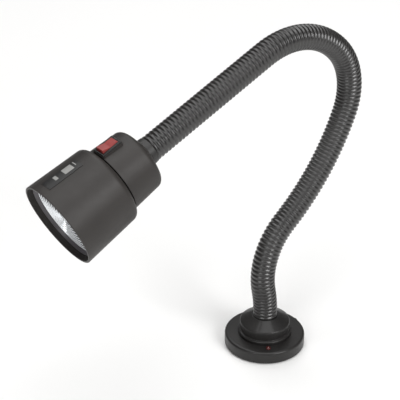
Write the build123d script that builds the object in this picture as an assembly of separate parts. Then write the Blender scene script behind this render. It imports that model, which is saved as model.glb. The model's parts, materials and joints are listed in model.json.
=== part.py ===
from build123d import *
from math import cos, pi, sin
import os

# Solder fume extractor on a flexible neck.
# Millimetres, +Z up.  Origin: centre of the base, on the bench surface.
# The neck lies in the XZ plane at rest and the head looks towards -X and down.

# ---------------------------------------------------------------- base
BASE_RADIUS = 42.0
DECK_TOP = 14.0
SHELL_WALL = 2.0
SHELL_BOTTOM = 1.2
DECK_THICKNESS = 2.5
EDGE_ROUND = 2.5
PAD_THICKNESS = 1.5
PLATE_THICKNESS = 1.5
BOSS_TOP = 28.0
BOSS_CROWN = 35.6                    # top of the low cone where the neck comes out
BOSS_RADIUS = 26.4
BOSS_RIM_ROUND = 2.3
BOSS_FOOT_RADIUS = 28.0
BOSS_FOOT_HEIGHT = 3.6
SLEEVE_SEAT = 25.5                   # the corrugated sleeve stands on the ferrule here
THREAD_RADIUS = 12.4                 # both threaded ferrules that hold the neck
NUT_FLATS = 32.0
NUT_HEIGHT = 5.0
WASHER_RADIUS = 18.0
WASHER_THICKNESS = 1.0
WEIGHT_BORE = 20.0
BASE_SCREW_CIRCLE = 30.0
BASE_SCREW_ANGLES = (0, 90, 180, 270)
BASE_SCREW_TURN = 45
INDICATOR_CIRCLE = 32.7
INDICATOR_ANGLE = -124
INDICATOR_RADIUS = 2.5
CORD_HEIGHT = 7.2                    # axis of the cord entry, above the bench
CORD_HOLE_RADIUS = 2.0

# ---------------------------------------------------------------- neck
SLEEVE_CREST = 12.6
SLEEVE_ROOT = 11.45
SLEEVE_BORE = 10.75
SLEEVE_CONVOLUTIONS = 70
# Each stretch is (length, bend radius); 0 is straight, + bends away from the head.
NECK_STRETCHES = (
    (8.0, 0),
    (30.4, -146.9),
    (81.2, 73.3),
    (127.7, -247.1),
    (76.5, -65.8),
    (103.6, -86.4),
    (144.5, 0),
)
NECK_LENGTH = sum(length for length, _ in NECK_STRETCHES)
# Distances along the neck of the seven places where it flexes.
FLEX_POINTS = (40.0, 86.0, 190.0, 288.0, 376.0, 458.0, 540.0)
FLEX_HALF_GAP = 5.0
LINK_RADIUS = 9.6
LINK_BORE = 5.5
LINK_SIDES = 12
LINK_STEP = 14.0                     # longest straight run inside a bent link
LEAD_RADIUS = 2.0
LEAD_BEND = 6.0
LEAD_START = 22.0                    # inner end of the lead, towards the cord entry

# ---------------------------------------------------------------- head
# Head pieces are drawn about their own Z axis: 0 at the mouth, negative to the rear,
# with X along the upper side, where the switch and the label are.
HEAD_LENGTH = 109.0                  # from the end of the neck to the mouth
MOUTH_RADIUS = 42.2
HOUSING_REAR_RADIUS = 38.75
HOUSING_BORE = 36.8                  # behind the fan's bulkhead
HOUSING_LENGTH = 61.5
SHOULDER_ROUND = 6.2
HOUSING_LIP = 30.5
FAN_SEAT = -26.5
CAP_FRONT = -63.0
CAP_FRONT_RADIUS = 32.4
CAP_REAR = -96.3
CAP_REAR_RADIUS = 30.25
CAP_END = -102.1
CAP_WALL = 2.2
SPIGOT_RADIUS = 30.3
SPIGOT_FRONT = -55.5
VENT_COUNT = 16
VENT_INNER = 18.5
VENT_OUTER = 27.0
VENT_WIDTH = 2.6
GUARD_PLANE = -5.9
GUARD_WIRE = 1.5
GUARD_RINGS = (10.4, 16.8, 23.2, 29.6, 36.0)
GUARD_SPOKES = 8
FILTER_RADIUS = 37.6
FILTER_THICKNESS = 8.0
FAN_SIZE = 50.0
FAN_DEPTH = 15.0
FAN_BORE = 23.6
FAN_HOLE_SPACING = 40.0
BLADE_TIP = 22.9
BLADE_COUNT = 7
HUB_RADIUS = 12.0
SHAFT_RADIUS = 1.0
SHAFT_CLEARANCE = 0.05
SWITCH_CENTRE = -74.4
SWITCH_SEAT = 32.8
SWITCH_HALF_LENGTH = 9.6
SWITCH_HALF_WIDTH = 6.4
ROCKER_PIVOT = 32.0
ROCKER_HALF = 8.5
ROCKER_TILT = 8.0
LABEL_FRONT = -8.0
LABEL_REAR = -44.5
LABEL_ARC = 18.0


# ================================================================ shared shapes
def turned(*corners):
    """Turn a closed outline about Z; a corner is (radius, height) or (radius, height, fillet)."""
    points = [(corner[0], corner[1]) for corner in corners]
    fillets = [corner[2] if len(corner) > 2 else 0 for corner in corners]
    outline = FilletPolyline(*points, radius=fillets, close=True)
    return revolve(make_face(Plane.XZ * outline), Axis.Z)


def disc(radius, bottom, top):
    """A plain round disc between two heights."""
    return Pos(0, 0, bottom) * extrude(Circle(radius), top - bottom)


def ring(outer, inner, bottom, top):
    """A flat-sided ring between two heights."""
    return Pos(0, 0, bottom) * extrude(Circle(outer) - Circle(inner), top - bottom)


def block(x_range, y_range, z_range):
    """A box given by its three ranges."""
    sizes = [high - low for low, high in (x_range, y_range, z_range)]
    centre = [(high + low) / 2 for low, high in (x_range, y_range, z_range)]
    return Pos(*centre) * Box(*sizes)


def around(shape, angles):
    """Copies of a shape turned about Z, as a list."""
    return [Rot(0, 0, angle) * shape for angle in angles]


def even_angles(count, first=0.0):
    """Equally spaced angles in degrees."""
    return [first + 360 * index / count for index in range(count)]


def hex_nut(bottom, top):
    """The thin hexagonal nut that clamps a neck ferrule."""
    blank = extrude(RegularPolygon(NUT_FLATS / 2, 6, major_radius=False), top - bottom)
    chamfered = Pos(0, 0, bottom) * blank & turned(
        (0, bottom), (NUT_FLATS / 2, bottom), (NUT_FLATS / 2 + 3, bottom + 1.5),
        (NUT_FLATS / 2 + 3, top - 1.5), (NUT_FLATS / 2, top), (0, top))
    return chamfered - disc(THREAD_RADIUS + 0.05, bottom - 1, top + 1)


# ================================================================ neck route
def neck_point(distance):
    """Position and heading of the neck's centreline at a distance from the base top."""
    x, z, heading = 0.0, BOSS_TOP, pi / 2
    for index, (length, bend) in enumerate(NECK_STRETCHES):
        last = index == len(NECK_STRETCHES) - 1
        step = distance if last or distance < length else length
        if bend == 0:
            x, z = x + step * cos(heading), z + step * sin(heading)
        else:
            turn = -step / bend
            x += bend * (-sin(heading + turn) + sin(heading))
            z += bend * (cos(heading + turn) - cos(heading))
            heading += turn
        distance -= step
        if distance <= 0:
            break
    return Vector(x, 0, z), heading


def neck_plane(distance):
    """Plane square across the neck, facing along it."""
    centre, heading = neck_point(distance)
    return Plane(centre, x_dir=(0, 1, 0), z_dir=(cos(heading), 0, sin(heading)))


def neck_edges(start, end):
    """Lines and arcs of the centreline between two distances."""
    edges, reached = [], 0.0
    for index, (length, bend) in enumerate(NECK_STRETCHES):
        last = index == len(NECK_STRETCHES) - 1
        low = start if index == 0 else max(start, reached)
        high = end if last else min(end, reached + length)
        if high > low:
            first, middle, final = (neck_point(at)[0] for at in (low, (low + high) / 2, high))
            edges.append(Line(first, final) if bend == 0 else ThreePointArc(first, middle, final))
        reached += length
    return edges


def head_location():
    """Where the head's own frame sits: origin at the mouth, X along the upper side."""
    mouth, heading = neck_point(NECK_LENGTH + HEAD_LENGTH)
    forward = (cos(heading), 0, sin(heading))
    return Plane(mouth, x_dir=(sin(heading), 0, -cos(heading)), z_dir=forward).location


# ================================================================ base pieces
def foot_pad():
    pad = disc(BASE_RADIUS - SHELL_WALL - 0.4, 0, PAD_THICKNESS)
    return chamfer(pad.edges().group_by(Axis.Z)[0], 0.4)


def base_screw_holes(radius, bottom, top):
    hole = Pos(BASE_SCREW_CIRCLE, 0, 0) * disc(radius, bottom, top)
    return [Rot(0, 0, BASE_SCREW_TURN) * copy for copy in around(hole, BASE_SCREW_ANGLES)]


def bottom_plate():
    top = PAD_THICKNESS + PLATE_THICKNESS
    plate = disc(BASE_RADIUS - SHELL_WALL - 0.3, PAD_THICKNESS, top)
    return plate - base_screw_holes(3.0, 0, top + 1)


def indicator_place(shape):
    return Rot(0, 0, INDICATOR_ANGLE) * Pos(INDICATOR_CIRCLE, 0, 0) * shape


def base_weight():
    """Cast ring that fills the base, with a channel for the lead and a well for the lamp."""
    bottom = PAD_THICKNESS + PLATE_THICKNESS
    top = DECK_TOP - DECK_THICKNESS
    outer = BASE_RADIUS - SHELL_WALL - 0.3
    body = turned((WEIGHT_BORE, bottom), (outer, bottom, 0.8), (outer, top, 1.2), (WEIGHT_BORE, top))
    channel = block((0, outer + 1), (-4.5, 4.5), (bottom - 1, top + 1))
    well = indicator_place(disc(INDICATOR_RADIUS + 1.2, bottom + 1, top + 1))
    return body - channel - well - base_screw_holes(1.5, bottom - 1, top - 1)


def base_shell():
    """Low round housing, open below, with its top edge rounded."""
    inner = BASE_RADIUS - SHELL_WALL
    body = turned(
        (THREAD_RADIUS + 0.2, DECK_TOP), (BASE_RADIUS, DECK_TOP, EDGE_ROUND),
        (BASE_RADIUS, SHELL_BOTTOM, 0.8), (inner, SHELL_BOTTOM),
        (inner, DECK_TOP - DECK_THICKNESS, 1.0), (THREAD_RADIUS + 0.2, DECK_TOP - DECK_THICKNESS))
    cord_hole = Pos(inner - 2, 0, CORD_HEIGHT) * Rot(0, 90, 0) * extrude(Circle(3.05), 6)
    return body - cord_hole - indicator_place(disc(INDICATOR_RADIUS + 0.05, 5, DECK_TOP + 1))


def base_screws():
    """Four countersunk screws that hold the plate and the weight."""
    head_top = PAD_THICKNESS + 1.5
    screw = turned((0, PAD_THICKNESS), (2.8, PAD_THICKNESS), (1.45, head_top), (1.45, 9.0), (0, 9.8))
    placed = Pos(BASE_SCREW_CIRCLE, 0, 0) * screw
    return Compound([Rot(0, 0, BASE_SCREW_TURN) * copy for copy in around(placed, BASE_SCREW_ANGLES)])


def power_indicator():
    """Domed lamp that stands out of the deck."""
    bottom = PAD_THICKNESS + PLATE_THICKNESS + 2
    body = disc(INDICATOR_RADIUS, bottom, DECK_TOP) + disc(INDICATOR_RADIUS + 0.6, bottom, bottom + 1)
    dome = Pos(0, 0, DECK_TOP) * Sphere(INDICATOR_RADIUS) & disc(INDICATOR_RADIUS, DECK_TOP, BOSS_TOP)
    return indicator_place(body + dome)


def cord_grommet():
    """Grooved rubber bush in the rear of the base, where the cord goes in."""
    bush = turned((CORD_HOLE_RADIUS, -4.5), (4.1, -4.5, 0.6), (4.1, -2.4), (3.0, -2.4), (3.0, 0.05),
                  (4.3, 0.05), (3.5, 2.6, 0.6), (CORD_HOLE_RADIUS, 2.6))
    return Pos(BASE_RADIUS, 0, CORD_HEIGHT) * Rot(0, 90, 0) * bush


def base_boss():
    """Turned drum that carries the neck: a bead round its foot, a soft rim and a low cone."""
    bead_top = DECK_TOP + BOSS_FOOT_HEIGHT
    bore = THREAD_RADIUS + 0.05
    mouth = SLEEVE_CREST + 0.15
    return turned(
        (mouth, BOSS_CROWN), (mouth + 1.6, BOSS_CROWN, 0.8), (BOSS_RADIUS, BOSS_TOP, BOSS_RIM_ROUND),
        (BOSS_RADIUS - 0.6, bead_top + 0.6, 0.5), (BOSS_FOOT_RADIUS, bead_top, 1.4),
        (BOSS_FOOT_RADIUS, DECK_TOP, 0.4), (bore, DECK_TOP), (bore, SLEEVE_SEAT), (mouth, SLEEVE_SEAT))


def base_ferrule():
    return turned((LINK_RADIUS + 0.1, 4.5), (THREAD_RADIUS, 4.5, 0.6), (THREAD_RADIUS, SLEEVE_SEAT),
                  (LINK_RADIUS + 0.1, SLEEVE_SEAT)) - block((0, 30), (-3, 3), (4, 10.4))


def base_washer():
    top = DECK_TOP - DECK_THICKNESS
    return ring(WASHER_RADIUS, THREAD_RADIUS + 0.2, top - WASHER_THICKNESS, top)


def base_nut():
    top = DECK_TOP - DECK_THICKNESS - WASHER_THICKNESS
    return hex_nut(top - NUT_HEIGHT + 1.2, top) - block((0, 30), (-3, 3), (4, 9.6))


# ================================================================ neck pieces
def neck_sleeve():
    """Corrugated outer sleeve: ruled cones from root to crest, square to the centreline."""
    start = SLEEVE_SEAT - BOSS_TOP
    half_pitch = (NECK_LENGTH - start) / (2 * SLEEVE_CONVOLUTIONS)
    sections = []
    for index in range(2 * SLEEVE_CONVOLUTIONS + 1):
        radius = SLEEVE_CREST if index % 2 else SLEEVE_ROOT
        sections.append(neck_plane(start + index * half_pitch) * Circle(radius))
    bore_path = Wire([edge.edge() for edge in neck_edges(start - 1, NECK_LENGTH + 1)])
    bore = sweep(neck_plane(start - 1) * Circle(SLEEVE_BORE), path=bore_path)
    return loft(sections, ruled=True) - bore


def link_tube(radius, start, end, runs):
    """A many-sided solid bar that follows the centreline in straight mitred runs."""
    points = [neck_point(start + (end - start) * index / runs)[0] for index in range(runs + 1)]
    path = Polyline(*points)
    _, heading = neck_point(start)
    across = Plane(points[0], x_dir=(0, 1, 0), z_dir=(cos(heading), 0, sin(heading)))
    return sweep(across * RegularPolygon(radius, LINK_SIDES), path=path, transition=Transition.RIGHT)


def neck_link(start, end):
    """One stiff length of the armature inside the sleeve, with a channel for the lead."""
    runs = max(1, round((end - start) / LINK_STEP + 0.49))
    return link_tube(LINK_RADIUS, start, end, runs) - link_tube(LINK_BORE, start, end, runs)


def neck_links():
    """The armature's lengths, from the base ferrule to the head's collar."""
    first, final = SLEEVE_SEAT - BOSS_TOP - 12.0, NECK_LENGTH + 14.0
    starts = [first] + [point + FLEX_HALF_GAP for point in FLEX_POINTS]
    ends = [point - FLEX_HALF_GAP for point in FLEX_POINTS] + [final]
    return {f"neck_link_{index + 1}": neck_link(*span) for index, span in enumerate(zip(starts, ends))}


def power_lead():
    """Round lead from the cord entry, up the neck and into the head."""
    corner = CORD_HEIGHT + LEAD_BEND
    bend = ThreePointArc(
        (LEAD_BEND, 0, CORD_HEIGHT),
        (LEAD_BEND * (1 - sin(pi / 4)), 0, corner - LEAD_BEND * cos(pi / 4)), (0, 0, corner))
    run = Line((LEAD_START, 0, CORD_HEIGHT), (LEAD_BEND, 0, CORD_HEIGHT))
    edges = [run, bend] + neck_edges(corner - BOSS_TOP, NECK_LENGTH + 24)
    across = Plane((LEAD_START, 0, CORD_HEIGHT), x_dir=(0, 1, 0), z_dir=(-1, 0, 0))
    return sweep(across * Circle(LEAD_RADIUS), path=Wire([edge.edge() for edge in edges]))


# ================================================================ head shells
def front_housing():
    """Slightly flared bell with a rounded rear shoulder and an inner lip for the rear cap."""
    return turned(
        (MOUTH_RADIUS, 0, 0.6), (HOUSING_REAR_RADIUS, -HOUSING_LENGTH, SHOULDER_ROUND),
        (HOUSING_LIP, -HOUSING_LENGTH), (HOUSING_LIP, -HOUSING_LENGTH + 2.3),
        (HOUSING_BORE, -HOUSING_LENGTH + 2.3, 4.0), (HOUSING_BORE, FAN_SEAT), (38.7, FAN_SEAT), (40.1, 0))


def cap_hooks():
    """Four snap hooks on the spigot that catch behind the housing's lip."""
    lip_front = -HOUSING_LENGTH + 2.35
    bead = turned((SPIGOT_RADIUS - 1, lip_front), (SPIGOT_RADIUS + 0.9, lip_front),
                  (SPIGOT_RADIUS + 0.9, lip_front + 0.8), (SPIGOT_RADIUS - 0.4, SPIGOT_FRONT),
                  (SPIGOT_RADIUS - 1, SPIGOT_FRONT))
    window = block((20, 40), (-5, 5), (lip_front - 1, SPIGOT_FRONT + 1))
    return [bead & copy for copy in around(window, even_angles(4, 45))]


def rear_cap():
    """Domed rear cap: spigot, tapered wall, vent slots round the neck and a flat switch seat."""
    bore = THREAD_RADIUS + 0.15
    inner_front = CAP_FRONT_RADIUS - CAP_WALL
    shell = turned(
        (SPIGOT_RADIUS, SPIGOT_FRONT), (SPIGOT_RADIUS, CAP_FRONT), (CAP_FRONT_RADIUS, CAP_FRONT, 0.4),
        (CAP_REAR_RADIUS, CAP_REAR, 5.5), (15.5, CAP_END), (bore, CAP_END), (bore, CAP_END + 2.6),
        (19.0, CAP_END + 2.6), (CAP_REAR_RADIUS - CAP_WALL, CAP_REAR + 1.4, 3.5),
        (inner_front - 0.4, CAP_FRONT - 2.5), (SPIGOT_RADIUS - 2.0, CAP_FRONT + 1), (SPIGOT_RADIUS - 2.0, SPIGOT_FRONT))
    long, wide = SWITCH_HALF_LENGTH + 1.5, SWITCH_HALF_WIDTH + 2.0
    seat = block((27.0, SWITCH_SEAT), (-wide, wide), (SWITCH_CENTRE - long, SWITCH_CENTRE + long))
    seat = fillet(seat.edges().filter_by(Axis.X), 1.5)
    body = shell + cap_hooks() + seat
    slot = Pos((VENT_INNER + VENT_OUTER) / 2, 0, CAP_END - 2) * extrude(
        SlotOverall(VENT_OUTER - VENT_INNER, VENT_WIDTH), 12)
    body -= around(slot, even_angles(VENT_COUNT, 180 / VENT_COUNT))
    long, wide = SWITCH_HALF_LENGTH + 0.1, SWITCH_HALF_WIDTH
    return body - block((20, 40), (-wide, wide), (SWITCH_CENTRE - long, SWITCH_CENTRE + long))


def rating_label():
    """Thin blank plate wrapped round the upper side of the housing."""
    slope = (MOUTH_RADIUS - HOUSING_REAR_RADIUS) / HOUSING_LENGTH
    front, rear = (MOUTH_RADIUS + slope * at + 0.02 for at in (LABEL_FRONT, LABEL_REAR))
    outline = Polyline((front, LABEL_FRONT), (front + 0.35, LABEL_FRONT),
                       (rear + 0.35, LABEL_REAR), (rear, LABEL_REAR), close=True)
    return Rot(0, 0, -LABEL_ARC / 2) * revolve(make_face(Plane.XZ * outline), Axis.Z, LABEL_ARC)


# ================================================================ neck fastening in the head
def head_collar():
    """Short smooth cuff with a threaded tube through the rear cap."""
    tube_end = CAP_END + 10.5
    return turned(
        (LINK_RADIUS + 0.1, -HEAD_LENGTH), (SLEEVE_CREST + 0.2, -HEAD_LENGTH, 0.4), (13.4, CAP_END, 0.4),
        (THREAD_RADIUS, CAP_END), (THREAD_RADIUS, tube_end, 0.6), (LINK_RADIUS + 0.1, tube_end))


def head_washer():
    return ring(WASHER_RADIUS, THREAD_RADIUS + 0.2, CAP_END + 2.6, CAP_END + 2.6 + WASHER_THICKNESS)


def head_nut():
    bottom = CAP_END + 2.6 + WASHER_THICKNESS
    return hex_nut(bottom, bottom + NUT_HEIGHT)


# ================================================================ filter cartridge
def guard_ring():
    """Ring that holds the guard and the filter, with a lead-in taper."""
    return turned((36.9, -8.2), (39.1, -8.2), (39.3, -3.3, 0.5), (37.9, -3.3, 0.4), (36.9, -4.6))


def inlet_guard():
    """Finger guard: concentric rings over radial spokes, with a plain centre disc."""
    low, high = GUARD_PLANE - GUARD_WIRE / 2, GUARD_PLANE + GUARD_WIRE / 2
    guard = disc(6.0, low, high)
    for radius in GUARD_RINGS:
        guard += ring(radius + GUARD_WIRE / 2, radius - GUARD_WIRE / 2, low, high)
    spoke = block((5.0, 36.6), (-0.6, 0.6), (low - 0.9, low + 0.4))
    return guard + around(spoke, even_angles(GUARD_SPOKES, 22.5))


def carbon_filter():
    top = -8.3
    return disc(FILTER_RADIUS, top - FILTER_THICKNESS, top)


def filter_grid():
    """Moulded spider behind the filter: a spacer rim down to the fan plate, cross bars and a ring."""
    front, back = -8.4 - FILTER_THICKNESS, -11.0 - FILTER_THICKNESS
    grid = ring(FILTER_RADIUS + 0.6, 36.0, FAN_SEAT + 2.5, front)
    grid += ring(19.5, 17.8, back, front)
    bar = block((0, 36.4), (-0.9, 0.9), (back, front))
    return grid + around(bar, even_angles(6, 30))


# ================================================================ fan
def fan_corner_holes(radius, bottom, top):
    half = FAN_HOLE_SPACING / 2
    return [Pos(x, y, 0) * disc(radius, bottom, top) for x in (-half, half) for y in (-half, half)]


def fan_plate():
    """Bulkhead that carries the fan and sits on the housing's inner step."""
    plate = ring(38.4, FAN_BORE, FAN_SEAT, FAN_SEAT + 2.5)
    return plate - fan_corner_holes(2.15, FAN_SEAT - 1, FAN_SEAT + 4)


def fan_frame():
    """Square fan frame: two flanges, a round duct, four struts and the bearing tube."""
    front, back = FAN_SEAT, FAN_SEAT - FAN_DEPTH
    square = RectangleRounded(FAN_SIZE, FAN_SIZE, 4.0) - Circle(FAN_BORE)
    frame = Pos(0, 0, front - 3) * extrude(square, 3) + Pos(0, 0, back) * extrude(square, 3)
    frame += ring(FAN_BORE + 1.2, FAN_BORE, back, front)
    frame += disc(11.6, back, back + 1.5)
    strut = block((11.0, FAN_BORE + 0.8), (-1.2, 1.2), (back, back + 2.2))
    frame += around(strut, even_angles(4, 45))
    frame += disc(3.7, back, back + 9.5)
    frame -= disc(3.0, back + 1.0, back + 12)
    return frame - fan_corner_holes(2.15, back - 1, front + 1)


def fan_blade():
    """One twisted blade, wider and steeper at the hub."""
    centre = FAN_SEAT - 6.6
    sections = []
    for radius, chord, thick, pitch in ((HUB_RADIUS - 0.6, 10.0, 1.3, 52), (17.5, 11.2, 1.0, 40),
                                        (BLADE_TIP, 11.6, 0.8, 31)):
        station = Plane((radius, 0, centre), x_dir=(0, 1, 0), z_dir=(1, 0, 0))
        sections.append(station * Rot(0, 0, pitch) * RectangleRounded(chord, thick, thick * 0.45))
    return loft(sections)


def fan_rotor():
    """Hub cup open to the rear, with its blades and the boss that holds the shaft."""
    front = FAN_SEAT - 1.5
    hub = turned((0, front), (HUB_RADIUS, front, 1.2), (HUB_RADIUS, front - 10.3), (HUB_RADIUS - 1.0, front - 10.3),
                 (HUB_RADIUS - 1.0, front - 1.2), (0, front - 1.2))
    hub += disc(2.6, front - 3.0, front - 1.0)
    hub += around(fan_blade(), even_angles(BLADE_COUNT))
    return hub - disc(SHAFT_RADIUS, front - 12, front - 0.6)


def rotor_magnet():
    front = FAN_SEAT - 3.2
    return ring(HUB_RADIUS - 1.0, HUB_RADIUS - 1.8, front - 8.0, front)


def fan_shaft():
    front = FAN_SEAT - 2.1
    return disc(SHAFT_RADIUS, front - 10.6, front)


def bearing(front):
    return ring(3.0, SHAFT_RADIUS + SHAFT_CLEARANCE, front - 2.3, front)


def fan_stator():
    """Four-pole laminated core with its windings."""
    front, back = FAN_SEAT - 5.4, FAN_SEAT - 11.0
    core = disc(5.2, back, front)
    arm = block((0, 9.3), (-1.8, 1.8), (back, front))
    shoe = ring(9.7, 8.2, back + 0.8, front - 0.8) & block((0, 12), (-5.2, 5.2), (back, front))
    core += around(arm, even_angles(4)) + around(shoe, even_angles(4))
    return core - disc(3.75, back - 1, front + 1)


def fan_board():
    return ring(10.6, 3.75, FAN_SEAT - 13.2, FAN_SEAT - 12.2)


def fan_screws():
    """Four long screws through the frame into the plate."""
    back = FAN_SEAT - FAN_DEPTH
    screw = turned((0, back - 2.2), (3.4, back - 2.2, 0.8), (3.4, back), (2.05, back), (2.05, FAN_SEAT + 2.3),
                   (0, FAN_SEAT + 2.3))
    half = FAN_HOLE_SPACING / 2
    return Compound([Pos(x, y, 0) * screw for x in (-half, half) for y in (-half, half)])


# ================================================================ switch and board
def rocker_pivot_place(shape):
    """Move a shape drawn about the rocker's pivot to its place in the head."""
    return Pos(ROCKER_PIVOT, 0, SWITCH_CENTRE) * shape


def switch_body():
    """Snap-in switch case with a bezel and an open well for the rocker."""
    long, wide = SWITCH_HALF_LENGTH, SWITCH_HALF_WIDTH - 0.1
    case = block((20.0, SWITCH_SEAT), (-wide, wide), (SWITCH_CENTRE - long, SWITCH_CENTRE + long))
    bezel = block((SWITCH_SEAT, SWITCH_SEAT + 1.3), (-wide - 1.3, wide + 1.3),
                  (SWITCH_CENTRE - long - 1.0, SWITCH_CENTRE + long + 1.0))
    bezel = chamfer(bezel.edges().group_by(Axis.X)[-1], 0.5)
    well = block((26.0, 40.0), (-5.3, 5.3), (SWITCH_CENTRE - long + 0.5, SWITCH_CENTRE + long - 0.5))
    pivot_hole = rocker_pivot_place(Rot(90, 0, 0) * disc(1.05, -5.9, 5.9))
    return case + bezel - well - pivot_hole


def switch_rocker():
    """Rocker with a dished top and two pivot stubs, its front end up."""
    outline = Polyline((3.6, -ROCKER_HALF), (2.3, 0), (3.6, ROCKER_HALF), (-0.6, ROCKER_HALF),
                       (-3.8, 3.0), (-3.8, -3.0), (-0.6, -ROCKER_HALF), close=True)
    paddle = extrude(make_face(Plane.XZ * outline), 5.0, both=True)
    paddle = fillet(paddle.edges().filter_by(Axis.Y).group_by(Axis.X)[-1], 0.6)
    stubs = Rot(90, 0, 0) * disc(1.0, -5.8, 5.8)
    return rocker_pivot_place(Rot(0, ROCKER_TILT, 0) * (paddle + stubs))


def switch_terminals():
    """Three brass blades below the switch."""
    blade = block((13.5, 19.95), (-2.4, 2.4), (-0.4, 0.4))
    return Compound([Pos(0, 0, SWITCH_CENTRE + offset) * blade for offset in (-6.5, 0, 6.5)])


def speed_board():
    """Small circuit board with a capacitor, a driver and a plug header."""
    board = block((-18.0, -16.4), (-13.0, 13.0), (-92.0, -68.0))
    capacitor = Pos(-16.5, -7.0, -75.0) * Rot(0, 90, 0) * extrude(Circle(3.2), 9.0)
    driver = block((-16.5, -14.6), (-1.5, 4.5), (-84.0, -79.0))
    header = block((-16.5, -10.5), (6.0, 11.0), (-78.0, -70.0))
    return board + capacitor + driver + header


# ================================================================ assembly
def head_pieces():
    """All pieces of the head, drawn in the head's own frame."""
    return {
        "head_collar": head_collar(),
        "head_washer": head_washer(),
        "head_nut": head_nut(),
        "rear_cap": rear_cap(),
        "front_housing": front_housing(),
        "rating_label": rating_label(),
        "guard_ring": guard_ring(),
        "inlet_guard": inlet_guard(),
        "carbon_filter": carbon_filter(),
        "filter_grid": filter_grid(),
        "fan_plate": fan_plate(),
        "fan_frame": fan_frame(),
        "fan_rotor": fan_rotor(),
        "rotor_magnet": rotor_magnet(),
        "fan_shaft": fan_shaft(),
        "bearing_front": bearing(FAN_SEAT - 5.5),
        "bearing_rear": bearing(FAN_SEAT - 10.6),
        "fan_stator": fan_stator(),
        "fan_board": fan_board(),
        "fan_screws": fan_screws(),
        "switch_body": switch_body(),
        "switch_rocker": switch_rocker(),
        "switch_terminals": switch_terminals(),
        "speed_board": speed_board(),
    }


def all_pieces():
    """Every piece by its name, in place."""
    pieces = {
        "foot_pad": foot_pad(),
        "bottom_plate": bottom_plate(),
        "base_weight": base_weight(),
        "base_shell": base_shell(),
        "base_screws": base_screws(),
        "power_indicator": power_indicator(),
        "cord_grommet": cord_grommet(),
        "base_boss": base_boss(),
        "base_ferrule": base_ferrule(),
        "base_washer": base_washer(),
        "base_nut": base_nut(),
        "neck_sleeve": neck_sleeve(),
        "power_lead": power_lead(),
    }
    pieces.update(neck_links())
    place = head_location()
    pieces.update({name: place * piece for name, piece in head_pieces().items()})
    return pieces


os.makedirs("parts", exist_ok=True)
for name, piece in all_pieces().items():
    export_step(piece, f"parts/{name}.step")
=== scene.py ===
"""Looks of a bench solder fume extractor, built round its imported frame."""
import json
import logging
import math
from collections.abc import Iterable, Sequence
from dataclasses import dataclass, field
from enum import Enum

import bpy
from mathutils import Matrix, Vector

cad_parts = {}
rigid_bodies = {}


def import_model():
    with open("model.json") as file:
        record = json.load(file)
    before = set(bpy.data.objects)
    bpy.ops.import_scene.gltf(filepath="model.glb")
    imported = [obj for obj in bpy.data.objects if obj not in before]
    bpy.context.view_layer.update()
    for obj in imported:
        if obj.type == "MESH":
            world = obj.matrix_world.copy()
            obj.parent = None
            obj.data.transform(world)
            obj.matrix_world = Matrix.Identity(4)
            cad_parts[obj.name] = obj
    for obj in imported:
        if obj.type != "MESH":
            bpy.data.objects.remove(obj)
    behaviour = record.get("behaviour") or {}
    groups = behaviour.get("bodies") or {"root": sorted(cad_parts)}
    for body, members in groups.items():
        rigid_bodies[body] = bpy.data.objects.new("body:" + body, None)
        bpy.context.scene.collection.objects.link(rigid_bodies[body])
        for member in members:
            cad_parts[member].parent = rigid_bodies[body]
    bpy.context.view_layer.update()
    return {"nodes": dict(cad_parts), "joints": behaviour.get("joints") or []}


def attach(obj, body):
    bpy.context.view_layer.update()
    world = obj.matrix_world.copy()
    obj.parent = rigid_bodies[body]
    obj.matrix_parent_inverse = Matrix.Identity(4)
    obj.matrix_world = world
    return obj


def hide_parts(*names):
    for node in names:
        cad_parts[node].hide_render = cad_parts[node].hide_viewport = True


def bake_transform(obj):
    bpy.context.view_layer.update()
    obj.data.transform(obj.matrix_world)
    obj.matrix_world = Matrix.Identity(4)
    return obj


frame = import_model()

logging.basicConfig(level=logging.INFO, format="%(message)s")
log = logging.getLogger("fume_extractor")

MM = 0.001
FULL_TURN = 2 * math.pi
Colour = tuple[float, float, float]
Panel = tuple[tuple[float, float], tuple[float, float]]


class CellPattern(Enum):
    """What a cell pattern measures its distance from."""

    CENTRES = "F1"
    WALLS = "DISTANCE_TO_EDGE"


class MaskRule(Enum):
    """How two masks are put together."""

    BOTH = "MULTIPLY"
    EITHER = "MAXIMUM"


# ---------------------------------------------------------------- hand tools
def deselect() -> None:
    """Leave edit mode and clear the selection."""
    if bpy.context.object and bpy.context.object.mode != "OBJECT":
        bpy.ops.object.mode_set(mode="OBJECT")
    bpy.ops.object.select_all(action="DESELECT")


def choose(piece: bpy.types.Object) -> None:
    """Make one piece the only selected and active one.

    Args:
        piece: The object to select.
    """
    deselect()
    piece.select_set(True)
    bpy.context.view_layer.objects.active = piece


def named(piece_name: str) -> bpy.types.Object:
    """Name the primitive that was just added.

    Args:
        piece_name: Name for the object and its mesh.

    Returns:
        The named object.
    """
    piece = bpy.context.object
    piece.name = piece_name
    piece.data.name = piece_name
    return piece


def apply_modifier(piece: bpy.types.Object, kind: str, **settings: object) -> None:
    """Add a modifier, set it and apply it.

    Args:
        piece: The piece to change.
        kind: The modifier's type, such as "BEVEL".
        settings: Values of the modifier's own properties.
    """
    choose(piece)
    modifier = piece.modifiers.new(kind.title(), kind)
    for key, value in settings.items():
        setattr(modifier, key, value)
    bpy.ops.object.modifier_apply(modifier=modifier.name)


def place(piece: bpy.types.Object, matrix: Matrix) -> bpy.types.Object:
    """Move a finished piece by a matrix and put the move into its mesh.

    Args:
        piece: The piece, still in its drawing frame.
        matrix: Where that frame sits in the object.

    Returns:
        The same piece, its object at the origin.
    """
    piece.matrix_world = matrix @ piece.matrix_world
    choose(piece)
    bpy.ops.object.transform_apply(location=True, rotation=True, scale=True)
    return piece


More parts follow.
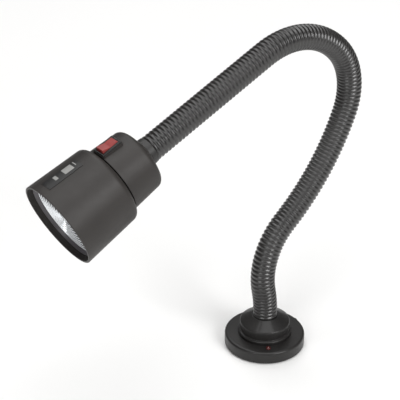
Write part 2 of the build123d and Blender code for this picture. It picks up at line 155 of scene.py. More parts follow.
def smooth(piece: bpy.types.Object, angle: float = 35.0) -> None:
    """Shade smooth, with edges sharper than an angle in degrees kept crisp."""
    choose(piece)
    bpy.ops.object.shade_smooth_by_angle(angle=math.radians(angle))


def tidy_mesh(piece: bpy.types.Object, gap: float = 1e-6) -> None:
    """Merge doubles and turn every face outwards.

    Args:
        piece: The piece to clean.
        gap: Vertices closer than this are merged, in metres.
    """
    choose(piece)
    bpy.ops.object.mode_set(mode="EDIT")
    bpy.ops.mesh.select_all(action="SELECT")
    bpy.ops.mesh.remove_doubles(threshold=gap)
    bpy.ops.mesh.normals_make_consistent(inside=False)
    bpy.ops.object.mode_set(mode="OBJECT")


def join(pieces: Sequence[bpy.types.Object], piece_name: str) -> bpy.types.Object:
    """Join several meshes into the first and rename it.

    Args:
        pieces: The meshes to join.
        piece_name: Name of the joined piece.

    Returns:
        The joined piece.
    """
    deselect()
    for piece in pieces:
        piece.select_set(True)
    bpy.context.view_layer.objects.active = pieces[0]
    bpy.ops.object.join()
    return named(piece_name)


def turned(piece_name: str, outline: Sequence[tuple[float, float]], steps: int = 96) -> bpy.types.Object:
    """Turn a closed outline about Z.

    Args:
        piece_name: Name of the new piece.
        outline: (radius, height) corners in millimetres, in order round the section.
        steps: Number of facets round the turn.

    Returns:
        The turned piece, with its doubles merged and its faces outwards.
    """
    deselect()
    bpy.ops.mesh.primitive_plane_add(size=MM)
    piece = named(piece_name)
    bpy.ops.object.mode_set(mode="EDIT")
    bpy.ops.mesh.merge(type="CENTER")
    bpy.ops.transform.translate(value=(outline[0][0] * MM, 0, outline[0][1] * MM))
    for (radius, height), (next_radius, next_height) in zip(outline, [*outline[1:], outline[0]]):
        step = ((next_radius - radius) * MM, 0, (next_height - height) * MM)
        bpy.ops.mesh.extrude_region_move(TRANSFORM_OT_translate={"value": step})
    bpy.ops.mesh.select_all(action="SELECT")
    bpy.ops.mesh.remove_doubles(threshold=1e-7)
    bpy.ops.mesh.spin(steps=steps, angle=FULL_TURN, center=(0, 0, 0), axis=(0, 0, 1))
    bpy.ops.object.mode_set(mode="OBJECT")
    tidy_mesh(piece)
    return piece


# ---------------------------------------------------------------- finishes
class Graph:
    """A material's node tree, with short calls for the nodes used here."""

    def __init__(self, finish_name: str) -> None:
        """Make an empty material with an output and one principled shader.

        Args:
            finish_name: Name of the material.
        """
        self.material = bpy.data.materials.new(finish_name)
        self.material.use_nodes = True
        self.tree = self.material.node_tree
        self.shader = self.tree.nodes["Principled BSDF"]
        self.coords = self.node("ShaderNodeTexCoord").outputs["Object"]

    def node(self, kind: str, **settings: object) -> bpy.types.Node:
        """Add a node and set its properties.

        Args:
            kind: The node's type.
            settings: Values of the node's own properties.

        Returns:
            The new node.
        """
        made = self.tree.nodes.new(kind)
        for key, value in settings.items():
            setattr(made, key, value)
        return made

    def wire(self, source: bpy.types.NodeSocket, target: bpy.types.NodeSocket) -> None:
        """Join two sockets."""
        self.tree.links.new(source, target)

    def mapped(self, centre: Vector, turn: Matrix, scale: Colour = (1, 1, 1)) -> bpy.types.NodeSocket:
        """Coordinates centred and turned to a piece's own frame.

        Args:
            centre: The frame's origin in the object.
            turn: The frame's rotation; its inverse is applied to the coordinates.
            scale: Stretch of the pattern along each of the frame's axes.

        Returns:
            The vector socket.
        """
        mapping = self.node("ShaderNodeMapping", vector_type="POINT")
        inverse = turn.to_3x3().inverted()
        mapping.inputs["Location"].default_value = -(inverse @ centre)
        mapping.inputs["Rotation"].default_value = inverse.to_euler()
        self.wire(self.coords, mapping.inputs["Vector"])
        stretch = self.node("ShaderNodeVectorMath", operation="MULTIPLY")
        stretch.inputs[1].default_value = scale
        self.wire(mapping.outputs["Vector"], stretch.inputs[0])
        return stretch.outputs["Vector"]

    def noise(self, size: float, detail: float = 3.0,
              coords: bpy.types.NodeSocket | None = None) -> bpy.types.NodeSocket:
        """Fractal noise.

        Args:
            size: Rough width of its largest blobs, in metres.
            detail: How many finer layers it has.
            coords: Coordinates to read; the object's own where none are given.

        Returns:
            A socket from 0 to 1.
        """
        texture = self.node("ShaderNodeTexNoise")
        texture.inputs["Scale"].default_value = 1 / size
        texture.inputs["Detail"].default_value = detail
        self.wire(coords or self.coords, texture.inputs["Vector"])
        return texture.outputs["Fac"]

    def cells(self, size: float, pattern: CellPattern) -> bpy.types.NodeSocket:
        """Distance pattern of irregular cells.

        Args:
            size: Rough width of a cell, in metres.
            pattern: What the distance is measured from.

        Returns:
            The distance socket.
        """
        texture = self.node("ShaderNodeTexVoronoi", feature=pattern.value)
        texture.inputs["Scale"].default_value = 1 / size
        self.wire(self.coords, texture.inputs["Vector"])
        return texture.outputs["Distance"]

    def blend_colours(self, factor: bpy.types.NodeSocket, low: Colour, high: Colour,
                      start: float = 0.3, end: float = 0.7) -> bpy.types.NodeSocket:
        """Colour ramp between two colours over part of a factor's range.

        Args:
            factor: The factor to read.
            low: Colour below start.
            high: Colour above end.
            start: Factor at which the change starts.
            end: Factor at which the change ends.

        Returns:
            The colour socket.
        """
        ramp = self.node("ShaderNodeValToRGB")
        for element, at, colour in zip(ramp.color_ramp.elements, (start, end), (low, high)):
            element.position = at
            element.color = (*colour, 1)
        self.wire(factor, ramp.inputs["Fac"])
        return ramp.outputs["Color"]

    def spread(self, factor: bpy.types.NodeSocket, low: float, high: float) -> bpy.types.NodeSocket:
        """Map a 0 to 1 factor to a range.

        Args:
            factor: The factor to read.
            low: Result at 0.
            high: Result at 1.

        Returns:
            The result socket.
        """
        spread = self.node("ShaderNodeMapRange")
        spread.inputs["To Min"].default_value = low
        spread.inputs["To Max"].default_value = high
        self.wire(factor, spread.inputs["Value"])
        return spread.outputs["Result"]

    def bump(self, height: bpy.types.NodeSocket, depth: float, strength: float = 1.0,
             under: bpy.types.NodeSocket | None = None) -> bpy.types.NodeSocket:
        """Bump, on top of another bump if one is given.

        Args:
            height: The height pattern.
            depth: Its depth in metres.
            strength: Share of the bump that shows.
            under: Normals of the bump below.

        Returns:
            The normal socket.
        """
        bump = self.node("ShaderNodeBump")
        bump.inputs["Distance"].default_value = depth
        bump.inputs["Strength"].default_value = strength
        self.wire(height, bump.inputs["Height"])
        if under is not None:
            self.wire(under, bump.inputs["Normal"])
        return bump.outputs["Normal"]

    def set(self, **sockets: float | Colour) -> None:
        """Set shader sockets by name, with underscores for spaces."""
        for key, value in sockets.items():
            self.shader.inputs[key.replace("_", " ")].default_value = value

    def connect(self, **sockets: bpy.types.NodeSocket) -> None:
        """Wire shader sockets by name, with underscores for spaces."""
        for key, value in sockets.items():
            self.wire(value, self.shader.inputs[key.replace("_", " ")])


def tint(colour: Colour, factor: float) -> Colour:
    """A colour made lighter or darker by a factor."""
    return tuple(min(1.0, channel * factor) for channel in colour)


@dataclass(frozen=True)
class MouldedPlastic:
    """Moulded plastic or rubber with a fine spark texture and faint mottling."""

    finish_name: str
    colour: Colour
    roughness: float = 0.5
    grain: float = 0.0006
    grain_depth: float = 0.00003
    mottle: float = 0.12
    specular: float = 0.5
    mottle_size: float = 0.03
    wear_size: float = 0.008
    wear: float = 0.06

    def material(self) -> bpy.types.Material:
        """Build the material.

        Returns:
            The finished material.
        """
        graph = Graph(self.finish_name)
        dark, light = tint(self.colour, 1 - self.mottle), tint(self.colour, 1 + self.mottle)
        graph.connect(
            Base_Color=graph.blend_colours(graph.noise(self.mottle_size, 4.0), dark, light),
            Roughness=graph.spread(graph.noise(self.wear_size), self.roughness - self.wear,
                                   self.roughness + self.wear),
            Normal=graph.bump(graph.noise(self.grain, 2.0), self.grain_depth))
        graph.set(Specular_IOR_Level=self.specular)
        return graph.material


@dataclass(frozen=True)
class Enamel:
    """Gloss paint on metal: faint orange peel under a clear film, with dust-fine specks."""

    finish_name: str
    colour: Colour
    roughness: float = 0.5
    coat: float = 0.22
    speck_size: float = 0.0012
    peel_size: float = 0.0025
    peel_depth: float = 0.00002

    def material(self) -> bpy.types.Material:
        """Build the material.

        Returns:
            The finished material.
        """
        graph = Graph(self.finish_name)
        specks = graph.noise(self.speck_size, 2.0)
        peel = graph.bump(graph.noise(self.peel_size, 2.0), self.peel_depth)
        graph.connect(
            Base_Color=graph.blend_colours(graph.noise(0.04, 4.0), tint(self.colour, 0.8),
                                           tint(self.colour, 1.25)),
            Roughness=graph.spread(specks, self.roughness - 0.05, self.roughness + 0.08),
            Normal=peel)
        graph.set(Coat_Weight=self.coat, Coat_Roughness=0.12, Specular_IOR_Level=0.4)
        return graph.material


@dataclass(frozen=True)
class PlainMetal:
    """Bare or plated metal with fine scratches and slight colour drift."""

    finish_name: str
    colour: Colour
    roughness: float = 0.25
    scratch: float = 0.002
    scratch_depth: float = 0.00001
    stretch: Colour = (1.0, 1.0, 6.0)

    def material(self) -> bpy.types.Material:
        """Build the material.

        Returns:
            The finished material.
        """
        graph = Graph(self.finish_name)
        lengthwise = graph.mapped(Vector((0, 0, 0)), Matrix.Identity(4), self.stretch)
        fine = graph.noise(self.scratch, 4.0, lengthwise)
        graph.connect(
            Base_Color=graph.blend_colours(graph.noise(0.02, 3.0), tint(self.colour, 0.88), self.colour),
            Roughness=graph.spread(fine, max(0.03, self.roughness - 0.07), self.roughness + 0.1),
            Normal=graph.bump(fine, self.scratch_depth))
        graph.set(Metallic=1.0)
        return graph.material


@dataclass(frozen=True)
class Casting:
    """Rough cast or sintered metal with pits."""

    finish_name: str
    colour: Colour
    roughness: float = 0.75
    pit: float = 0.0011
    pit_depth: float = 0.00012
    grain: float = 0.0005
    grain_depth: float = 0.00005

    def material(self) -> bpy.types.Material:
        """Build the material.

        Returns:
            The finished material.
        """
        graph = Graph(self.finish_name)
        pits = graph.bump(graph.cells(self.pit, CellPattern.CENTRES), self.pit_depth, 0.5)
        graph.connect(
            Base_Color=graph.blend_colours(graph.noise(0.012, 5.0), tint(self.colour, 0.7),
                                           tint(self.colour, 1.3)),
            Roughness=graph.spread(graph.noise(0.004), self.roughness - 0.1, self.roughness + 0.1),
            Normal=graph.bump(graph.noise(self.grain, 4.0), self.grain_depth, 1.0, pits))
        graph.set(Metallic=0.6)
        return graph.material


@dataclass(frozen=True)
class OpenFoam:
    """Open-cell carbon foam with deep cells; its colour carries painted light on each strut and painted shade
    in the cells.
    """

    finish_name: str
    colour: Colour
    cell: float = 0.0016
    cell_depth: float = 0.0009

    def material(self) -> bpy.types.Material:
        """Build the material.

        Returns:
            The finished material.
        """
        graph = Graph(self.finish_name)
        pore_depth_and_shade = graph.cells(self.cell, CellPattern.WALLS)
        # Base colour: painted light on each strut and painted shade towards the cell centres; the same
        # pattern sets the pore depth.
        graph.connect(
            Base_Color=graph.blend_colours(pore_depth_and_shade, tint(self.colour, 2.4), tint(self.colour, 0.25),
                                           0.02, 0.14),
            Roughness=graph.spread(graph.noise(self.cell), 0.8, 0.95),
            Normal=graph.bump(pore_depth_and_shade, -self.cell_depth))
        graph.set(Specular_IOR_Level=0.2)
        return graph.material


@dataclass(frozen=True)
class ClearRed:
    """Translucent red plastic with depth, as on lamps and lit rockers."""

    finish_name: str
    colour: Colour
    roughness: float = 0.18

    def material(self) -> bpy.types.Material:
        """Build the material.

        Returns:
            The finished material.
        """
        graph = Graph(self.finish_name)
        graph.connect(
            Base_Color=graph.blend_colours(graph.noise(0.006), tint(self.colour, 0.75), self.colour),
            Roughness=graph.spread(graph.noise(0.003), self.roughness - 0.05, self.roughness + 0.08),
            Normal=graph.bump(graph.noise(0.0009, 2.0), 0.00001))
        graph.set(Subsurface_Weight=0.15, Subsurface_Radius=(0.004, 0.001, 0.001), Subsurface_Scale=0.4,
                  Coat_Weight=0.3, Coat_Roughness=0.08)
        return graph.material


@dataclass(frozen=True)
class PrintedFilm:
    """Blank rating label: dark film with two empty pale panels and a thin rule."""

    finish_name: str
    ground: Colour
    print_colour: Colour
    centre: Vector = field(default_factory=Vector)
    turn: Matrix = field(default_factory=Matrix)
    panels: tuple[Panel, ...] = (
        ((-0.0115, -0.0030), (-0.0018, 0.0050)), ((0.0050, -0.0020), (0.0082, 0.0040)),
        ((-0.0150, -0.0010), (-0.0142, 0.0052)))
    soft_edge: float = 0.00012

    def band(self, graph: Graph, value: bpy.types.NodeSocket, low: float,
             high: float) -> bpy.types.NodeSocket:
        """1 where a value lies between two limits, with a soft edge.

        Args:
            graph: The material's graph.
            value: The value to test.
            low: Lower limit.
            high: Upper limit.

        Returns:
            The mask socket.
        """
        middle, half = (low + high) / 2, (high - low) / 2
        shifted = graph.node("ShaderNodeMath", operation="SUBTRACT")
        graph.wire(value, shifted.inputs[0])
        shifted.inputs[1].default_value = middle
        distance = graph.node("ShaderNodeMath", operation="ABSOLUTE")
        graph.wire(shifted.outputs[0], distance.inputs[0])
        mask = graph.node("ShaderNodeMapRange")
        graph.wire(distance.outputs[0], mask.inputs["Value"])
        mask.inputs["From Min"].default_value = half
        mask.inputs["From Max"].default_value = half + self.soft_edge
        mask.inputs["To Min"].default_value = 1.0
        mask.inputs["To Max"].default_value = 0.0
        return mask.outputs["Result"]

    def join_masks(self, graph: Graph, first: bpy.types.NodeSocket, second: bpy.types.NodeSocket,
                   rule: MaskRule) -> bpy.types.NodeSocket:
        """Put two masks together.

        Args:
            graph: The material's graph.
            first: One mask.
            second: The other mask.
            rule: Whether both or either has to be set.

        Returns:
            The joined mask.
        """
        made = graph.node("ShaderNodeMath", operation=rule.value)
        graph.wire(first, made.inputs[0])
        graph.wire(second, made.inputs[1])
        return made.outputs[0]

    def panel(self, graph: Graph, along: bpy.types.NodeSocket, across: bpy.types.NodeSocket,
              panel: Panel) -> bpy.types.NodeSocket:
        """Mask of one printed rectangle.

        Args:
            graph: The material's graph.
            along: Place along the head.
            across: Place across the head.
            panel: Two opposite corners of the rectangle.

        Returns:
            The mask socket.
        """
        (rear, near), (front, far) = panel
        lengthwise = self.band(graph, along, rear, front)
        crosswise = self.band(graph, across, near, far)
        return self.join_masks(graph, lengthwise, crosswise, MaskRule.BOTH)

    def material(self) -> bpy.types.Material:
        """Build the material.

        Returns:
            The finished material.
        """
        graph = Graph(self.finish_name)
        local = graph.mapped(self.centre, self.turn)
        parts = graph.node("ShaderNodeSeparateXYZ")
        graph.wire(local, parts.inputs["Vector"])
        along, across = parts.outputs["Z"], parts.outputs["Y"]
        first, *others = [self.panel(graph, along, across, panel) for panel in self.panels]
        marks = first
        for other in others:
            marks = self.join_masks(graph, marks, other, MaskRule.EITHER)
        graph.connect(
            Base_Color=graph.blend_colours(marks, self.ground, self.print_colour, 0.0, 1.0),
            Roughness=graph.spread(graph.noise(0.002), 0.3, 0.42),
            Normal=graph.bump(graph.noise(0.0008), 0.000008))
        return graph.material


@dataclass(frozen=True)
class CircuitBoard:
    """Green solder mask with faint buried traces."""

    finish_name: str
    colour: Colour
    trace_gap: float = 0.0035

    def material(self) -> bpy.types.Material:
        """Build the material.

        Returns:
            The finished material.
        """
        graph = Graph(self.finish_name)
        traces = graph.cells(self.trace_gap, CellPattern.WALLS)
        graph.connect(
            Base_Color=graph.blend_colours(traces, tint(self.colour, 1.8), self.colour, 0.03, 0.06),
            Roughness=graph.spread(graph.noise(0.004), 0.25, 0.4),
            Normal=graph.bump(traces, 0.00002))
        return graph.material


class Palette:
    """Every finish of the object, built once."""

    def __init__(self, label_centre: Vector, head_turn: Matrix) -> None:
        """Build all materials.

        Args:
            label_centre: Centre of the rating label.
            head_turn: The head's rotation, which the label's print follows.
        """
        self.housing = MouldedPlastic("housing_plastic", (0.0275, 0.0242, 0.0222), 0.50, grain=0.0007,
                                      mottle=0.1, specular=0.4).material()
        self.sleeve = MouldedPlastic("sleeve_plastic", (0.0135, 0.0122, 0.0117), 0.30, grain=0.0009,
                                     grain_depth=0.000002, specular=0.85).material()
        self.cuff = MouldedPlastic("cuff_plastic", (0.018, 0.0168, 0.016), 0.45).material()
        self.paint = Enamel("base_paint", (0.0095, 0.0085, 0.0080)).material()
        self.chrome = PlainMetal("guard_chrome", (0.88, 0.91, 0.94), 0.2).material()
        self.ring = MouldedPlastic("ring_grey", (0.080, 0.074, 0.081), 0.34, 0.0008, 0.00001).material()
        self.foam = OpenFoam("carbon_foam", (0.014, 0.014, 0.015)).material()
        self.fan = MouldedPlastic("fan_plastic", (0.022, 0.022, 0.023), 0.42).material()
        self.zinc = PlainMetal("zinc_steel", (0.58, 0.59, 0.60), 0.32).material()
        self.iron = Casting("iron_weight", (0.09, 0.085, 0.08)).material()
        self.rubber = MouldedPlastic("black_rubber", (0.017, 0.017, 0.017), 0.72, 0.0011, 0.00006).material()
        self.nylon = MouldedPlastic("link_nylon", (0.30, 0.30, 0.28), 0.5).material()
        self.lead = MouldedPlastic("lead_jacket", (0.022, 0.022, 0.024), 0.5).material()
        self.rocker = ClearRed("rocker_red", (0.33, 0.044, 0.040), 0.34).material()
        self.switch = MouldedPlastic("switch_black", (0.014, 0.014, 0.014), 0.28, 0.0009, 0.00001).material()
        self.lamp = ClearRed("lamp_red", (0.085, 0.012, 0.011), 0.2).material()
        self.label = PrintedFilm("label_black", (0.010, 0.0098, 0.010), (0.30, 0.30, 0.29), label_centre,
                                 head_turn).material()
        self.brass = PlainMetal("contact_brass", (0.74, 0.56, 0.26), 0.22).material()
        self.board = CircuitBoard("circuit_green", (0.015, 0.10, 0.04)).material()
        self.winding = PlainMetal("winding_copper", (0.70, 0.30, 0.15), 0.3, 0.0006, 0.00008,
                                  (1, 1, 1)).material()
        self.magnet = Casting("magnet_dark", (0.07, 0.07, 0.075)).material()


def dress(node_name: str, material: bpy.types.Material) -> None:
    """Give a node of the frame its finish.

    Args:
        node_name: The node's name in the frame.
        material: Its finish.
    """
    node = frame["nodes"][node_name]
    node.data.materials.clear()
    node.data.materials.append(material)


def finish_piece(piece: bpy.types.Object, material: bpy.types.Material) -> None:
    """Give a new piece its finish and log its face count.

    Args:
        piece: The new piece.
        material: Its finish.
    """
    piece.data.materials.clear()
    piece.data.materials.append(material)
    log.info("%s: %d faces", piece.name, len(piece.data.polygons))


def joint(joint_name: str) -> dict:
    """The frame's record of one joint."""
    return next(entry for entry in frame["joints"] if entry["name"] == joint_name)


# ---------------------------------------------------------------- sub-assemblies
@dataclass
class HeadFrame:
    """The head's own frame: origin at the mouth, Z forward, X along the upper side."""

    rotor_depth: float = 33 * MM
    label_centre: tuple[float, float] = (41.0, -26.25)
    matrix: Matrix = field(init=False)

    def __post_init__(self) -> None:
        """Work the frame out from the rotor's joint."""
        spin = joint("rotor_spin")
        forward = Vector(spin["axis"]).normalized()
        across = Vector((0, 1, 0))
        upper = across.cross(forward)
        mouth = Vector(spin["pos_m"]) + forward * self.rotor_depth
        turn = Matrix((upper, across, forward)).transposed()
        self.matrix = Matrix.Translation(mouth) @ turn.to_4x4()

    def at(self, upper: float, forward: float) -> Vector:
        """A point of the head's mid-plane, in millimetres from the mouth's centre."""
        return self.matrix @ Vector((upper * MM, 0, forward * MM))


@dataclass
class Neck:
    """Corrugated sleeve and lead, made in pieces that each run across one joint."""

    palette: Palette
    stretches: tuple[tuple[float, float], ...] = (
        (8.0, 0), (30.4, -146.9), (81.2, 73.3), (127.7, -247.1), (76.5, -65.8), (103.6, -86.4), (144.5, 0))
    boss_top: float = 28.0
    seat: float = 25.5
    crest: float = 12.6
    root: float = 11.6
    convolutions: int = 136
    facets: int = 48
    wall: float = 0.8
    lead_radius: float = 2.0
    lead_facets: int = 16
    lead_run: float = 6.0
    rib_shape: tuple[tuple[float, float], ...] = (
        (0.0, 0.0), (0.10, 0.10), (0.24, 0.70), (0.38, 0.96), (0.5, 1.0),
        (0.62, 0.96), (0.76, 0.70), (0.90, 0.10), (1.0, 0.0))
    bend_half: float = 30.0
    sample: float = 2.0
    links: int = 8
    length: float = field(init=False)
    curve: bpy.types.Object = field(init=False)

    def __post_init__(self) -> None:
        """Work out the route's length and its guide curve."""
        self.length = sum(length for length, _ in self.stretches) + self.boss_top - self.seat
        self.curve = self.guide_curve()

    def point(self, distance: float) -> Vector:
        """A point of the centreline.

        Args:
            distance: Millimetres along the sleeve from its seat.

        Returns:
            The point in metres.
        """
        x, z, heading = 0.0, self.seat, math.pi / 2
        stretches = [(self.boss_top - self.seat, 0), *self.stretches]
        for index, (length, bend) in enumerate(stretches):
            step = distance if index == len(stretches) - 1 else min(distance, length)
            if bend:
                turn = -step / bend
                x += bend * (math.sin(heading) - math.sin(heading + turn))
                z += bend * (math.cos(heading + turn) - math.cos(heading))
                heading += turn
            else:
                x += step * math.cos(heading)
                z += step * math.sin(heading)
            distance -= step
            if distance <= 0:
                break
        return Vector((x, 0, z)) * MM

    def guide_curve(self) -> bpy.types.Object:
        """The centreline as a curve.

        Returns:
            The curve that the sleeve's stretches are bent along.
        """
        count = round(self.length / self.sample)
        data = bpy.data.curves.new("neck_guide", "CURVE")
        data.dimensions = "3D"
        spline = data.splines.new("POLY")
        spline.points.add(count)
        for index, point in enumerate(spline.points):
            point.co = (*self.point(self.length * index / count), 1)
        guide = bpy.data.objects.new("neck_guide", data)
        bpy.context.scene.collection.objects.link(guide)
        return guide

    def distance_of(self, target: Vector) -> float:
        """Distance along the centreline of the place nearest to a point, in millimetres."""
        steps = round(self.length)
        return min(range(steps + 1), key=lambda at: (self.point(at) - target).length)

    def profile(self, pitch: float) -> list[tuple[float, float]]:
        """One convolution from groove to groove, as (distance, radius) in millimetres."""
        depth = self.crest - self.root
        return [(along * pitch, self.root + rise * depth) for along, rise in self.rib_shape]

    def tube(self, piece_name: str, start: float, profile: Sequence[tuple[float, float]], count: int,
             facets: int) -> bpy.types.Object:
        """A tube bent along the guide, made of one repeated length of wall.

        Args:
            piece_name: Name of the new piece.
            start: Distance along the guide of its first edge, in millimetres.
            profile: One length of wall as (distance, radius), in millimetres.
            count: How many times the length is repeated.
            facets: Number of facets round the tube.

        Returns:
            The bent tube.
        """
        deselect()
        bpy.ops.mesh.primitive_circle_add(vertices=facets, radius=profile[0][1] * MM,
                                          location=(start * MM, 0, 0), rotation=(0, math.pi / 2, 0))
        piece = named(piece_name)
        bpy.ops.object.transform_apply(location=True, rotation=True, scale=True)
        bpy.ops.object.mode_set(mode="EDIT")
        bpy.ops.mesh.select_all(action="SELECT")
        for (along, radius), (next_along, next_radius) in zip(profile, profile[1:]):
            step = ((next_along - along) * MM, 0, 0)
            growth = next_radius / radius
            bpy.ops.mesh.extrude_region_move(TRANSFORM_OT_translate={"value": step})
            bpy.ops.transform.resize(value=(1, growth, growth),
                                     center_override=((start + next_along) * MM, 0, 0))
        bpy.ops.object.mode_set(mode="OBJECT")
        pitch = profile[-1][0] * MM
        apply_modifier(piece, "ARRAY", count=count, use_relative_offset=False, use_constant_offset=True,
                       constant_offset_displace=(pitch, 0, 0), use_merge_vertices=True, merge_threshold=1e-5)
        apply_modifier(piece, "CURVE", object=self.curve, deform_axis="POS_X")
        tidy_mesh(piece)
        smooth(piece, 60)
        return piece

    def spans(self) -> Iterable[tuple[str, str, float, float, float]]:
        """Share the neck out among its joints.

        Returns:
            For each joint its body, the next body, and the start, joint and end in millimetres.
        """
        flexes = [entry for entry in frame["joints"] if entry["name"].startswith("neck_flex")]
        places = [self.distance_of(Vector(entry["pos_m"])) for entry in flexes]
        pitch = self.length / self.convolutions
        middles = [round((first + second) / 2 / pitch) * pitch for first, second in zip(places, places[1:])]
        limits = [0.0, *middles, self.length]
        for entry, at, start, end in zip(flexes, places, limits, limits[1:]):
            yield entry["parent"], entry["child"], start, at, end

    def build(self) -> None:
        """Make the sleeve and the lead, one piece of each across every joint."""
        pitch = self.length / self.convolutions
        for index, (body, next_body, start, at, end) in enumerate(self.spans(), 1):
            half = min(at - start, end - at, self.bend_half)
            ends = self.point(at - half), self.point(at + half)
            count = round((end - start) / pitch)
            sleeve = self.tube(f"sleeve_{index}", start, self.profile(pitch), count, self.facets)
            apply_modifier(sleeve, "SOLIDIFY", thickness=self.wall * MM, offset=-1.0)
            smooth(sleeve, 60)
            finish_piece(sleeve, self.palette.sleeve)
            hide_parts("neck_sleeve")
            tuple(ends[0])
            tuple(ends[1])
            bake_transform(sleeve)
            lead_count = round((end - start) / self.lead_run)
            lead_wall = [(0.0, self.lead_radius), ((end - start) / lead_count, self.lead_radius)]
            lead = self.tube(f"lead_{index}", start, lead_wall, lead_count, self.lead_facets)
            finish_piece(lead, self.palette.lead)
            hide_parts("power_lead")
            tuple(ends[0])
            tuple(ends[1])
            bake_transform(lead)
        bpy.data.objects.remove(self.curve)
        for index in range(self.links):
            dress(f"neck_link_{index + 1}", self.palette.nylon)


@dataclass
class Base:
    """Weighted two-step base with its lamp and cord bush."""

    palette: Palette

    def build(self) -> None:
        """Dress the frame's own base pieces."""
        for node_name, material in {
            "base_shell": self.palette.paint, "base_boss": self.palette.paint,
            "foot_pad": self.palette.rubber, "cord_grommet": self.palette.rubber,
            "bottom_plate": self.palette.zinc, "base_screws": self.palette.zinc,
            "base_ferrule": self.palette.zinc, "base_washer": self.palette.zinc,
            "base_nut": self.palette.zinc, "base_weight": self.palette.iron,
            "power_indicator": self.palette.lamp,
        }.items():
            dress(node_name, material)
            log.info("%s dressed", node_name)


@dataclass
class Head:
    """Housing, rear cap, collar, label, fan and boards."""

    palette: Palette

    def build(self) -> None:
        """Dress the frame's own head pieces."""
        for node_name, material in {
            "front_housing": self.palette.housing, "rear_cap": self.palette.housing,
            "head_collar": self.palette.cuff, "head_washer": self.palette.zinc,
            "head_nut": self.palette.zinc, "rating_label": self.palette.label,
            "filter_grid": self.palette.fan, "fan_plate": self.palette.fan, "fan_frame": self.palette.fan,
            "fan_rotor": self.palette.fan, "rotor_magnet": self.palette.magnet,
            "fan_shaft": self.palette.zinc,
            "bearing_front": self.palette.zinc, "bearing_rear": self.palette.zinc,
            "fan_stator": self.palette.winding, "fan_board": self.palette.board,
            "fan_screws": self.palette.zinc,
            "speed_board": self.palette.board,
        }.items():
            dress(node_name, material)
            log.info("%s dressed", node_name)


@dataclass
class FilterCartridge:
    """Retaining ring, wire finger guard and foam filter, which pull out together."""

    palette: Palette
    head: HeadFrame
    plane: float = -9.4
    wire_radius: float = 0.8
    ring_radii: tuple[float, ...] = (8.0, 11.5, 15.0, 18.5, 22.0, 25.5, 29.0, 32.5, 36.0)
    ring_facets_per_mm: float = 3.2
    spokes: int = 8
    spoke_drop: float = 1.3
    spoke_under_badge: float = 1.0
    spoke_past_ring: float = 0.5
    spoke_end_round: float = 0.35
    badge_radius: float = 6.0
    badge_half: float = 0.6
    retainer: tuple[tuple[float, float], ...] = (
        (36.4, -12.4), (39.2, -12.4), (39.3, -6.0), (39.1, -5.7), (38.7, -5.7), (36.6, -9.3), (36.4, -9.8))
    foam_radius: float = 37.4
    foam_front: float = -11.6
    foam_back: float = -16.2
    foam_cell: float = 1.1
    pore_size: float = 1.8
    pore_depth: float = 0.9

    def guard(self) -> bpy.types.Object:
        """Concentric wires over radial spokes, with a plain pressed disc in the centre.

        Returns:
            The guard in the head's own frame.
        """
        parts = []
        for radius in self.ring_radii:
            deselect()
            facets = max(36, round(radius * self.ring_facets_per_mm))
            bpy.ops.mesh.primitive_torus_add(major_radius=radius * MM, minor_radius=self.wire_radius * MM,
                                             major_segments=facets, minor_segments=10,
                                             location=(0, 0, self.plane * MM))
            parts.append(bpy.context.object)
        inner, outer = self.badge_radius - self.spoke_under_badge, self.ring_radii[-1] + self.spoke_past_ring
        spoke_length, middle = outer - inner, (inner + outer) / 2 * MM
        for index in range(self.spokes):
            angle = FULL_TURN * (index + 0.5) / self.spokes
            deselect()
            height = (self.plane - self.spoke_drop) * MM
            bpy.ops.mesh.primitive_cylinder_add(
                vertices=12, radius=self.wire_radius * MM, depth=spoke_length * MM,
                rotation=(0, math.pi / 2, angle),
                location=(middle * math.cos(angle), middle * math.sin(angle), height))
            parts.append(bpy.context.object)
            apply_modifier(bpy.context.object, "BEVEL", width=self.spoke_end_round * MM, segments=2,
                           limit_method="ANGLE")
        back, front = self.plane - self.badge_half, self.plane + self.badge_half
        parts.append(turned("badge", [
            (0.01, back), (self.badge_radius, back), (self.badge_radius, self.plane),
            (self.badge_radius - 0.7, front), (0.01, front + 0.5)], 64))
        guard = join(parts, "finger_guard")
        smooth(guard, 40)
        return guard

    def retaining_ring(self) -> bpy.types.Object:
        """Ring with a lead-in cone that holds the guard and the foam.

        Returns:
            The ring in the head's own frame.
        """
        retainer = turned("retaining_ring", self.retainer, 128)
        smooth(retainer, 30)
        return retainer

    def foam(self) -> bpy.types.Object:
        """Foam disc with a crumbly open-cell front.

        Returns:
            The foam in the head's own frame.
        """
        deselect()
        depth = self.foam_front - self.foam_back
        bpy.ops.mesh.primitive_cylinder_add(vertices=96, radius=self.foam_radius * MM, depth=depth * MM,
                                            end_fill_type="TRIFAN",
                                            location=(0, 0, (self.foam_front + self.foam_back) / 2 * MM))
        foam = named("foam_filter")
        bpy.ops.object.transform_apply(location=True, rotation=True, scale=True)
        apply_modifier(foam, "REMESH", mode="VOXEL", voxel_size=self.foam_cell * MM)
        pores = bpy.data.textures.new("pores", "CLOUDS")
        pores.noise_scale = self.pore_size * MM
        apply_modifier(foam, "DISPLACE", texture=pores, strength=-self.pore_depth * MM, mid_level=0.2,
                       texture_coords="LOCAL")
        smooth(foam, 50)
        return foam

    def build(self) -> None:
        """Make the guard and the foam and dress the ring."""
        guard = place(self.guard(), self.head.matrix)
        finish_piece(guard, self.palette.chrome)
        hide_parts("inlet_guard")
        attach(guard, "filter_cartridge")
        foam = place(self.foam(), self.head.matrix)
        finish_piece(foam, self.palette.foam)
        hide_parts("carbon_filter")
        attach(foam, "filter_cartridge")
        retainer = place(self.retaining_ring(), self.head.matrix)
        finish_piece(retainer, self.palette.ring)
        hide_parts("guard_ring")
        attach(retainer, "filter_cartridge")


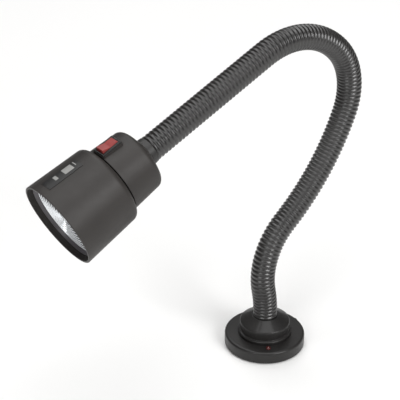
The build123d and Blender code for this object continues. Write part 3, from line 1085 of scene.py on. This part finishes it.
@dataclass
class Switch:
    """Snap-in switch with its red rocker."""

    palette: Palette

    def build(self) -> None:
        """Dress the switch's pieces."""
        dress("switch_body", self.palette.switch)
        dress("switch_rocker", self.palette.rocker)
        dress("switch_terminals", self.palette.brass)


@dataclass(frozen=True)
class SoftBox:
    """One square soft light: its place and target in metres, its side and its power in watts."""

    light_name: str
    place_at: Colour
    target: Colour
    size: float
    power: float

    def build(self) -> None:
        """Add the light."""
        data = bpy.data.lights.new(self.light_name, "AREA")
        data.size, data.energy, data.color = self.size, self.power, (1, 1, 1)
        light = bpy.data.objects.new(self.light_name, data)
        light.location = self.place_at
        direction = Vector(self.target) - Vector(self.place_at)
        light.rotation_euler = direction.to_track_quat("-Z", "Y").to_euler()
        bpy.context.scene.collection.objects.link(light)


@dataclass
class Studio:
    """Camera, pale floor and soft lights."""

    azimuth: float = -41.64
    distance: float = 1.0898
    height: float = 0.7730
    pitch: float = 28.95
    pan: float = 3.59
    lens_pixels: float = 1248.0
    frame_pixels: float = 400.0
    floor_size: float = 30.0
    surround: float = 0.12
    boxes: tuple[SoftBox, ...] = (
        SoftBox("left_box", (-3.8, -1.6, 2.5), (-0.05, 0.0, 0.12), 2.0, 46),
        SoftBox("right_box", (0.4, -4.0, 2.6), (-0.05, 0.0, 0.12), 2.2, 122),
        SoftBox("overhead", (-0.3, -0.6, 5.5), (-0.05, 0.0, 0.12), 4.0, 150),
        SoftBox("back_wash", (1.3, 2.6, 4.0), (1.0, 1.4, 0.0), 3.0, 75))

    def camera(self) -> None:
        """Set the camera at the height and distance of the view."""
        side = math.radians(self.azimuth)
        place_at = Vector((self.distance * math.sin(side), -self.distance * math.cos(side), self.height))
        turn, down = side + math.radians(self.pan), math.radians(self.pitch)
        forward = Vector((-math.sin(turn) * math.cos(down), math.cos(turn) * math.cos(down), -math.sin(down)))
        data = bpy.data.cameras.new("camera")
        data.lens = data.sensor_width * self.lens_pixels / self.frame_pixels
        data.clip_end = 100
        camera = bpy.data.objects.new("camera", data)
        camera.location = place_at
        camera.rotation_euler = forward.to_track_quat("-Z", "Y").to_euler()
        bpy.context.scene.collection.objects.link(camera)
        bpy.context.scene.camera = camera

    def floor(self) -> None:
        """A plain pale floor that runs past every view."""
        deselect()
        bpy.ops.mesh.primitive_plane_add(size=self.floor_size)
        floor = named("floor")
        graph = Graph("floor_white")
        graph.connect(Base_Color=graph.blend_colours(graph.noise(0.4), (0.955, 0.952, 0.945),
                                                     (0.965, 0.962, 0.955)))
        graph.set(Roughness=0.9, Specular_IOR_Level=0.1)
        floor.data.materials.append(graph.material)

    def lights(self) -> None:
        """Soft boxes either side of the camera, overhead and behind, and a dim surround."""
        for box in self.boxes:
            box.build()
        world = bpy.data.worlds.new("surround")
        world.use_nodes = True
        world.node_tree.nodes["Background"].inputs["Color"].default_value = (1.0, 1.0, 0.995, 1)
        world.node_tree.nodes["Background"].inputs["Strength"].default_value = self.surround
        bpy.context.scene.world = world

    def build(self) -> None:
        """Set the whole studio."""
        self.camera()
        self.floor()
        self.lights()
        view = bpy.context.scene.view_settings
        view.view_transform, view.look = "Standard", "None"
        log.info("studio set")


def main() -> None:
    """Build every sub-assembly in order."""
    Studio().build()
    head_frame = HeadFrame()
    palette = Palette(head_frame.at(*head_frame.label_centre), head_frame.matrix)
    cartridge = FilterCartridge(palette, head_frame)
    for part in (Base(palette), Neck(palette), Head(palette), cartridge, Switch(palette)):
        part.build()
        log.info("%s done", type(part).__name__)


if __name__ == "__main__":
    main()
